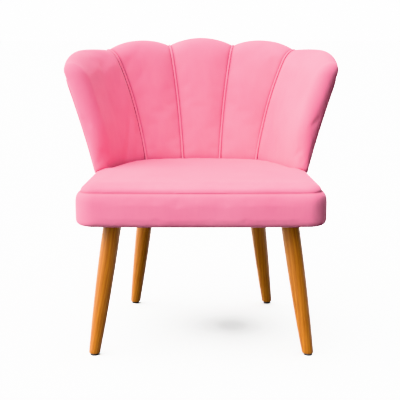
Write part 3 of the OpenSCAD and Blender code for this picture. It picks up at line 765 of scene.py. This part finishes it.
def aroundSeat(spacing):  # (turn, past) all round the seat, about evenly spaced
    p = seatPlan
    places = []
    arcs = ((0, p["rearTurn"], p["rearRadius"]), (p["rearTurn"], p["cornerTurn"], p["cornerRadius"]),
            (p["cornerTurn"], p["sideTurn"], p["sideRadius"]))
    for a, b, radius in arcs:
        places += [(turn, 0) for turn in steps(a, b, round(math.radians(b - a) * radius / spacing))[:-1]]
    places += [(p["sideTurn"], t) for t in steps(0, 1, round(sideRun.length / spacing))[:-1]]
    a, b = p["sideTurn"], p["frontTurn"]
    count = round(math.radians(b - a) * p["frontCornerRadius"] / spacing)
    places += [(turn, 1) for turn in steps(a, b, count)[:-1]]
    places += [(turn, 1) for turn in steps(b, 180, round(math.radians(180 - b) * frontRadius / spacing))]
    return places + [(-turn, past) for turn, past in places[-2:0:-1]]


def borderRow(turn, past):
    look = borderLook
    row = []
    for t in steps(0, 1, look["steps"]):
        bulge = look["swell"] * (1 - (abs(2 * t - 1) ** (look["power"] if t < 0.5 else look["power"] / 2)))
        tuck = look["under"] * math.exp(-t / 0.03) + look["tuck"] * math.exp((t - 1) / 0.02)
        z = lerp(underZ, seamZ, t)
        # painted shade at the border's top seam
        creaseShade = 0.9 * math.exp((t - 1) / 0.012)
        row.append((Vector((*borderPoint(turn, past, tuck - bulge), z)),
                    Vector((*borderPoint(turn, past, look["wall"]), z)), creaseShade))
    return row


def borderPoint(turn, past, inset):
    if 0 < past < 1:  # along the straight side
        a = edgePoint(math.copysign(seatPlan["sideTurn"], turn), 0, inset)
        b = edgePoint(math.copysign(seatPlan["sideTurn"], turn), 1, inset)
        return a.lerp(b, past)
    return edgePoint(turn, past, inset)


def makeBorder():
    mesh, free = padMesh("seatBorder", [[borderRow(*place) for place in aroundSeat(0.0075)]], ring=True)
    piece = finishPiece("seatBorder", mesh, borderVelvetShaded)
    held = [1.0] * len(mesh.vertices)
    for i in free:
        t = (mesh.vertices[i].co.z - underZ) / (seamZ - underZ)
        held[i] = 1 - smooth(0, 0.12, t) * smooth(0, 0.12, 1 - t)
    inflate(piece, held, borderLook["pressure"], borderLook["cap"], borderLook["extra"])
    return subdivide(piece, 1)


border = makeBorder()
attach(border, "root")
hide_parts("seat_border")
print("border made")


# Outer back
outerLook = {"rows": 120, "steps": 34, "inner": 0.007, "swell": 0.002, "hemGap": 0.0055, "sideGap": 0.62}


def hemZ(s): return rollZ(s) - hookDepth - outerLook["hemGap"]


def outerRow(s):
    look = outerLook
    row = []
    share = 1 - look["sideGap"] / backShape["wingTurn"]
    for t in steps(0, 1, look["steps"]):
        z = lerp(baseZ, hemZ(s), t)
        turn = turnAt(s, z) * share
        middle = (1 - abs(2 * t - 1) ** 3) * (1 - abs(s / 2.5) ** 8)
        ripple = 0.0008 * noise.noise(Vector((s * 2.2, z * 9, 3.1))) * middle
        # painted shade along the outer back's bottom, hem and sides
        edge = max(math.exp(-t / 0.012), math.exp((t - 1) / 0.012), math.exp((abs(s) - 2.5) / 0.012))
        row.append((shellPoint(turn, -look["swell"] * middle - ripple, z),
                    shellPoint(turn, look["inner"], z), 0.8 * edge))
    return row


mesh, free = padMesh("outerBack", [[outerRow(s) for s in steps(-2.5, 2.5, outerLook["rows"])]])
outerBack = subdivide(finishPiece("outerBack", mesh, outerVelvetShaded), 1)
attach(outerBack, "root")
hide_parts("outer_back_cover", "back_wadding")
print("outer back made")


# Piping, swept along its seams
def newTree(name, inputs):
    tree = bpy.data.node_groups.new(name, "GeometryNodeTree")
    tree.interface.new_socket("Geometry", in_out="INPUT", socket_type="NodeSocketGeometry")
    for label, kind, value in inputs:
        socket = tree.interface.new_socket(label, in_out="INPUT", socket_type="NodeSocket" + kind)
        if value is not None:
            socket.default_value = value
    tree.interface.new_socket("Geometry", in_out="OUTPUT", socket_type="NodeSocketGeometry")
    add = nodeAdder(tree)
    return tree, add, add("NodeGroupInput").outputs, add("NodeGroupOutput")


def cordTree():
    tree, add, given, end = newTree("sweptCord", [
        ("Diameter", "Float", 0.005), ("Ring spacing", "Float", 0.003), ("Sides", "Int", 10),
        ("Unevenness", "Float", 0.08), ("Seed", "Int", 4), ("Cord material", "Material", None)])
    even = add("GeometryNodeResampleCurve",
               {"Curve": given["Geometry"], "Length": given["Ring spacing"]}, mode="LENGTH")
    lumps = add("ShaderNodeTexNoise", {"Scale": 70.0, "Detail": 2.0, "W": given["Seed"]},
                noise_dimensions="4D")
    spread = add("ShaderNodeMath", {0: lumps.outputs["Fac"], 1: 0.5}, operation="SUBTRACT")
    scaled = add("ShaderNodeMath", {0: spread.outputs[0], 1: given["Unevenness"], 2: 1.0},
                 operation="MULTIPLY_ADD")
    sized = add("GeometryNodeSetCurveRadius", {"Curve": even.outputs["Curve"], "Radius": scaled.outputs[0]})
    half = add("ShaderNodeMath", {0: given["Diameter"], 1: 0.5}, operation="MULTIPLY")
    round_ = add("GeometryNodeCurvePrimitiveCircle",
                 {"Radius": half.outputs[0], "Resolution": given["Sides"]})
    profile = round_.outputs["Curve"]
    swept = add("GeometryNodeCurveToMesh",
                {"Curve": sized.outputs["Curve"], "Profile Curve": profile, "Fill Caps": True})
    real = add("GeometryNodeRealizeInstances", {"Geometry": swept.outputs["Mesh"]})
    coloured = add("GeometryNodeSetMaterial",
                   {"Geometry": real.outputs["Geometry"], "Material": given["Cord material"]})
    tree.links.new(coloured.outputs["Geometry"], end.inputs["Geometry"])
    return tree


def curveThrough(name, points, closed=False):
    curve = bpy.data.curves.new(name, "CURVE")
    curve.dimensions = "3D"
    line = curve.splines.new("POLY")
    line.points.add(len(points) - 1)
    for point, spot in zip(line.points, points):
        point.co = (*spot, 1)
    line.use_cyclic_u = closed
    guide = bpy.data.objects.new(name, curve)
    scene.collection.objects.link(guide)
    return guide


def grow(guide, tree, values, name, material):
    # runs a tree on a guide and keeps its result as a plain mesh
    mod = guide.modifiers.new("grow", "NODES")
    mod.node_group = tree
    for socket in tree.interface.items_tree:
        if socket.item_type == "SOCKET" and socket.in_out == "INPUT" and socket.name in values:
            mod[socket.identifier] = values[socket.name]
    guide.update_tag()
    solved = guide.evaluated_get(bpy.context.evaluated_depsgraph_get())
    mesh = bpy.data.meshes.new_from_object(solved)
    mesh.name = name
    bpy.data.objects.remove(guide)
    return finishPiece(name, mesh, material)


pipingLook = {"diameter": 0.0055, "edgeDiameter": 0.0045, "lift": 0.0032, "proud": 0.0012}
cord = cordTree()


def pipingPath(s):
    look = pipingLook
    path = []
    for z in steps(baseZ + 0.013, rollZ(s), 40):
        path.append(shellPoint(turnAt(s, z), faceDepth(s, z) + pinch(z) + look["lift"], z))
    middle = faceDepth(s, rollZ(s)) / 2
    for f in range(6, 181, 6):
        lift = look["lift"] * (1 - 0.9 * smooth(20, 90, f))
        z = rollZ(s) + (halfThick + lift) * sind(f)
        path.append(shellPoint(turnAt(s, z), middle + (middle + lift) * cosd(f), z))
    for z in steps(rollZ(s), rollZ(s) - hookDepth, 4)[1:]:
        path.append(shellPoint(turnAt(s, z), -look["lift"] * 0.6, z))
    return path


for s, side in ((-1.5, "left_outer"), (-0.5, "left_inner"), (0.5, "right_inner"), (1.5, "right_outer")):
    guide = curveThrough("guide", pipingPath(s))
    piping = grow(guide, cord,
                  {"Diameter": pipingLook["diameter"], "Cord material": pipingVelvetLit, "Sides": 12},
                  "piping_" + side, pipingVelvetLit)
    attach(piping, "root")
    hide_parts("piping_" + side)


def edgePath():
    look, gap = pipingLook, outerLook["hemGap"]
    turn = backShape["wingTurn"] - outerLook["sideGap"] / 2
    half = [shellPoint(turn, -look["proud"], z) for z in steps(baseZ + 0.001, hemZ(2.5) - 0.012, 30)]
    for s in [2.465] + steps(2.44, 0, 130):
        z = hemZ(s) + gap / 2 - 0.002 * smooth(2.40, 2.5, s)
        half.append(shellPoint(turnAt(s, z), -look["proud"], z))
    return half + [Vector((-q.x, q.y, q.z)) for q in half[-2::-1]]


edging = grow(curveThrough("guide", edgePath()), cord,
              {"Diameter": pipingLook["edgeDiameter"], "Cord material": pipingVelvetLit, "Sides": 10},
              "edgePiping", pipingVelvetLit)
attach(edging, "root")
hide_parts("edge_piping")
print("piping made")


# Legs and glides
legLook = {
    "footDiameter": 0.028, "topDiameter": 0.0467, "around": 56, "rings": 60, "edge": 0.003,
    "frontTop": (-0.0484, 0.047), "rearTop": (-0.043, -0.047),  # from the foot to the top, right side
}


def legMesh(name, foot, top):
    look = legLook
    low, high = foot.z, top.z
    axis = (top - Vector((foot.x, foot.y, 0)))
    length = axis.length
    along = axis.normalized()
    side = along.cross(Vector((0, 1, 0))).normalized()
    front = along.cross(side)
    verts, grain = [], []
    heights = [low + look["edge"] * (1 - cosd(a)) for a in (0, 30, 60, 90)]
    heights += steps(low + look["edge"], high, look["rings"])[1:]
    for z in heights:
        shy = 0
        if z < low + look["edge"]:
            shy = look["edge"] - math.sqrt(max(0, look["edge"] ** 2 - (low + look["edge"] - z) ** 2))
        for k in range(look["around"]):
            a = 360 * k / look["around"]
            spoke = side * cosd(a) + front * sind(a)
            t = z / (length * along.z)
            for _ in range(4):
                wider = look["topDiameter"] - look["footDiameter"]
                radius = (look["footDiameter"] + wider * (1 - (1 - t) ** 2)) / 2
                t = (z - (radius - shy) * spoke.z) / (length * along.z)
            local = Vector(((radius - shy) * cosd(a), (radius - shy) * sind(a), t * length))
            verts.append(Vector((foot.x, foot.y, 0)) + along * local.z + spoke * (radius - shy))
            grain += [local.x, local.y, local.z]
    n, rows = look["around"], len(heights)
    faces = [[i * n + k, i * n + (k + 1) % n, (i + 1) * n + (k + 1) % n, (i + 1) * n + k]
             for i in range(rows - 1) for k in range(n)]
    faces += [list(range(n)), [(rows - 1) * n + n - 1 - k for k in range(n)]]
    mesh = bpy.data.meshes.new(name)
    mesh.from_pydata(verts, [], faces)
    setAttribute(mesh, "grain", grain, "FLOAT_VECTOR")
    work = bmesh.new()
    work.from_mesh(mesh)
    bmesh.ops.recalc_face_normals(work, faces=work.faces)
    work.to_mesh(mesh)
    work.free()
    return mesh


def glideMesh(name, middle, radius, height):
    outline = [(radius - 0.0015, 0), (radius - 0.0004, 0.0004), (radius, 0.0015), (radius, height - 0.0012),
               (radius - 0.0012, height), (0.0015, height), (0.0015, height + 0.016)]
    n = 48
    verts = [Vector((middle.x + r * cosd(360 * k / n), middle.y + r * sind(360 * k / n), z))
             for r, z in outline for k in range(n)]
    rows = len(outline)
    faces = [[i * n + k, i * n + (k + 1) % n, (i + 1) * n + (k + 1) % n, (i + 1) * n + k]
             for i in range(rows - 1) for k in range(n)]
    faces += [list(reversed(range(n))), [(rows - 1) * n + k for k in range(n)]]
    mesh = bpy.data.meshes.new(name)
    mesh.from_pydata(verts, [], faces)
    return mesh


blackPlastic = glidePlastic()
for corner, topShift in (("front_right", legLook["frontTop"]), ("front_left", legLook["frontTop"]),
                         ("rear_right", legLook["rearTop"]), ("rear_left", legLook["rearTop"])):
    low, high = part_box("glide_" + corner)
    side = -1 if "left" in corner else 1
    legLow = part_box("leg_" + corner)[0].z
    foot = Vector(((low.x + high.x) / 2, (low.y + high.y) / 2, legLow))
    top = Vector((foot.x + side * topShift[0], foot.y + topShift[1], underZ))
    leg = finishPiece("leg_" + corner, legMesh("leg_" + corner, foot, top), oiledWood)
    leg.data.polygons[-1].use_smooth = leg.data.polygons[-2].use_smooth = False
    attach(leg, "root")
    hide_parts("leg_" + corner)
    glideBody = glideMesh("glide_" + corner, foot, (high.x - low.x) / 2, legLow - low.z)
    glide = finishPiece("glide_" + corner, glideBody, blackPlastic)
    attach(glide, "root")
    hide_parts("glide_" + corner)
print("legs made")


# Dust cover and its staples
dustLook = {"hem": 0.0085, "sag": 0.004, "thickness": 0.0008, "ringSteps": 12}
stapleLook = {"Spacing": 0.042, "Width": 0.011, "Wire": 0.0012, "Jitter": 0.12, "Seed": 7}
blackCloth = wovenCloth("blackDustCloth", (0.010, 0.010, 0.011), (0.050, 0.050, 0.054), 900.0)
steel = zincSteel()


def dustPoint(q, k):
    middle = Vector((0, (frontY + rearY) / 2))
    x, y = lerp(middle.x, q.x, k), lerp(middle.y, q.y, k)
    uneven = 0.8 + 0.4 * noise.noise(Vector((x * 7, y * 7, 0)))
    hang = dustLook["sag"] * (1 - smooth(0.0, 0.80, k)) * uneven
    return Vector((x, y, underZ + 0.0003 - hang))


rim = [borderPoint(turn, past, dustLook["hem"]) for turn, past in aroundSeat(0.012)]
rings = [[dustPoint(q, k) for q in rim] for k in steps(1, 0.04, dustLook["ringSteps"])]
n = len(rim)
verts = [q for ring in rings for q in ring] + [dustPoint(Vector((0, (frontY + rearY) / 2)), 0)]
faces = [[i * n + j, (i + 1) * n + j, (i + 1) * n + (j + 1) % n, i * n + (j + 1) % n]
         for i in range(len(rings) - 1) for j in range(n)]
faces += [[(len(rings) - 1) * n + j, len(verts) - 1, (len(rings) - 1) * n + (j + 1) % n] for j in range(n)]
mesh = bpy.data.meshes.new("dustCover")
mesh.from_pydata(verts, [], faces)
dustCover = finishPiece("dustCover", mesh, blackCloth)
if sum(f.normal.z for f in mesh.polygons) > 0:
    mesh.flip_normals()
thick = dustCover.modifiers.new("cloth", "SOLIDIFY")
thick.thickness, thick.offset = dustLook["thickness"], -1
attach(dustCover, "root")
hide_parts("dust_cover")


def stapleTree():
    tree, add, given, end = newTree("stapleRow", [
        ("Spacing", "Float", 0.04), ("Width", "Float", 0.011), ("Wire", "Float", 0.0012),
        ("Jitter", "Float", 0.1), ("Seed", "Int", 7), ("Staple material", "Material", None)])
    points = add("GeometryNodeCurveToPoints", {"Curve": given["Geometry"], "Length": given["Spacing"]},
                 mode="LENGTH")
    size = add("ShaderNodeCombineXYZ", {"X": given["Wire"], "Y": given["Width"], "Z": given["Wire"]})
    bar = add("GeometryNodeMeshCube",
              {"Size": size.outputs[0], "Vertices X": 2, "Vertices Y": 6, "Vertices Z": 2})
    less = add("ShaderNodeMath", {0: given["Jitter"], 1: -1.0}, operation="MULTIPLY")
    turn = add("FunctionNodeRandomValue", data_type="FLOAT")
    tree.links.new(less.outputs[0], turn.inputs[2])
    tree.links.new(given["Jitter"], turn.inputs[3])
    tree.links.new(given["Seed"], turn.inputs["Seed"])
    spun = add("ShaderNodeCombineXYZ", {"Z": turn.outputs[1]})
    aligned = add("FunctionNodeAlignEulerToVector", {"Vector": points.outputs["Tangent"]}, axis="Y")
    placed = add("GeometryNodeInstanceOnPoints",
                 {"Points": points.outputs["Points"], "Instance": bar.outputs["Mesh"],
                  "Rotation": aligned.outputs["Rotation"]})
    shaken = add("GeometryNodeRotateInstances",
                 {"Instances": placed.outputs["Instances"], "Rotation": spun.outputs[0]})
    real = add("GeometryNodeRealizeInstances", {"Geometry": shaken.outputs["Instances"]})
    coloured = add("GeometryNodeSetMaterial",
                   {"Geometry": real.outputs["Geometry"], "Material": given["Staple material"]})
    tree.links.new(coloured.outputs["Geometry"], end.inputs["Geometry"])
    return tree


stapleLine = [(*borderPoint(turn, past, 0.024), underZ - stapleLook["Wire"] * 0.4)
              for turn, past in aroundSeat(0.012)]
staples = grow(curveThrough("guide", stapleLine, closed=True), stapleTree(),
               dict(stapleLook, **{"Staple material": steel}), "dustCoverStaples", steel)
for face in staples.data.polygons:
    face.use_smooth = False
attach(staples, "root")
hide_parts("dust_cover_staples")
print("dust cover made")


# Materials of the frame inside
timber = rawWood("pineTimber", (0.50, 0.31, 0.14), (0.72, 0.52, 0.30), (1, 6, 6), 9.0)
plywood = rawWood("birchPlywood", (0.44, 0.27, 0.13), (0.66, 0.47, 0.27), (3, 3, 60), 8.0)
hardboard = rawWood("liningBoard", (0.23, 0.14, 0.08), (0.36, 0.24, 0.15), (30, 30, 30), 12.0)
webbing = wovenCloth("blackWebbing", (0.012, 0.012, 0.013), (0.085, 0.085, 0.09), 320.0)
frameFinish = {
    "seat_rail": timber, "corner_block": timber, "back_post": timber, "back_rail": plywood,
    "back_lining": hardboard,
    "leg_tee_nuts": steel, "hanger_bolts": steel, "back_bolt": steel, "back_tee_nuts": steel,
    "webbing_liner": blackCloth, "webbing_": webbing,
}
for name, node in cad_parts.items():
    finish = next((m for start, m in frameFinish.items() if name.startswith(start)), None)
    if finish is not None:
        for materialSlot in node.material_slots:
            materialSlot.material = finish
print("frame finished")


# Floor, light and camera
studio = {
    "fill": 0.12, "backdrop": 8.0,         # the room's least light, and how bright it looks itself
    "soft": 13.2, "softPower": 7.0, "softFrom": (-0.68, -0.08, 0.74),  # the broad light on the chair
    "overhead": 24.0, "overheadSoftness": 84, "overheadFrom": (-0.14, 0.0, 1.0),  # the light on the floor
}
floorMesh = bpy.data.meshes.new("floor")
floorMesh.from_pydata([(-30, -30, 0), (30, -30, 0), (30, 30, 0), (-30, 30, 0)], [], [[0, 1, 2, 3]])
floorMat, floorShader, addNode, linkNode = nodeKit("paleFloor")
floorTone = noiseAt(addNode, addNode("ShaderNodeTexCoord").outputs["Object"], 2.0)
floorGrey = ramp(addNode, floorTone, [(0.3, (0.43, 0.43, 0.43)), (0.7, (0.44, 0.44, 0.44))])
linkNode(floorGrey, floorShader.inputs["Base Color"])
floorShader.inputs["Roughness"].default_value = 0.9
floorShader.inputs["Specular IOR Level"].default_value = 0.1
floor = finishPiece("floor", floorMesh, floorMat)
floor.visible_diffuse = False
floor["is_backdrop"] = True

world = bpy.data.worlds.new("studio")
scene.world = world
world.use_nodes = True
room = world.node_tree.nodes["Background"]
room.inputs["Color"].default_value = (1, 1, 1, 1)
addWorld = nodeAdder(world.node_tree)

# A soft light that is brightest from the upper left and fades away all round
softWay = Vector(studio["softFrom"]).normalized()
way = addWorld("ShaderNodeTexCoord").outputs["Generated"]
towards = addWorld("ShaderNodeVectorMath", {0: way, 1: softWay}, operation="DOT_PRODUCT")
half = addWorld("ShaderNodeMath", {0: towards.outputs["Value"], 1: 0.5, 2: 0.5}, operation="MULTIPLY_ADD")
lobe = addWorld("ShaderNodeMath", {0: half.outputs[0], 1: studio["softPower"]}, operation="POWER")
given = addWorld("ShaderNodeMath", {0: lobe.outputs[0], 1: studio["soft"], 2: studio["fill"]},
                 operation="MULTIPLY_ADD")
seen = addWorld("ShaderNodeMapRange", {"Value": addWorld("ShaderNodeLightPath").outputs["Is Camera Ray"],
                                       "To Min": given.outputs[0], "To Max": studio["backdrop"]})
world.node_tree.links.new(seen.outputs["Result"], room.inputs["Strength"])


def addSun(name, reach):  # reach is the set of things that the light falls on
    sun = bpy.data.objects.new(name, bpy.data.lights.new(name, "SUN"))
    sun.data.energy = studio[name]
    sun.data.angle = math.radians(studio[name + "Softness"])
    sun.rotation_euler = Vector(studio[name + "From"]).to_track_quat("Z", "Y").to_euler()
    sun.light_linking.receiver_collection = reach
    scene.collection.objects.link(sun)


floorOnly = bpy.data.collections.new("floorOnly")
floorOnly.objects.link(floor)
addSun("overhead", floorOnly)

view = {"distance": 2.3, "height": 0.8458, "down": 10.87, "focal": 86.7, "shift": -0.0030}
camera = bpy.data.objects.new("camera", bpy.data.cameras.new("camera"))
camera.data.lens = view["focal"]
camera.data.sensor_width = 36
camera.data.shift_x = view["shift"]
camera.location = (0, frontY - view["distance"], view["height"])
camera.rotation_euler = (math.radians(90 - view["down"]), 0, 0)
scene.collection.objects.link(camera)
scene.camera = camera

low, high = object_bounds()
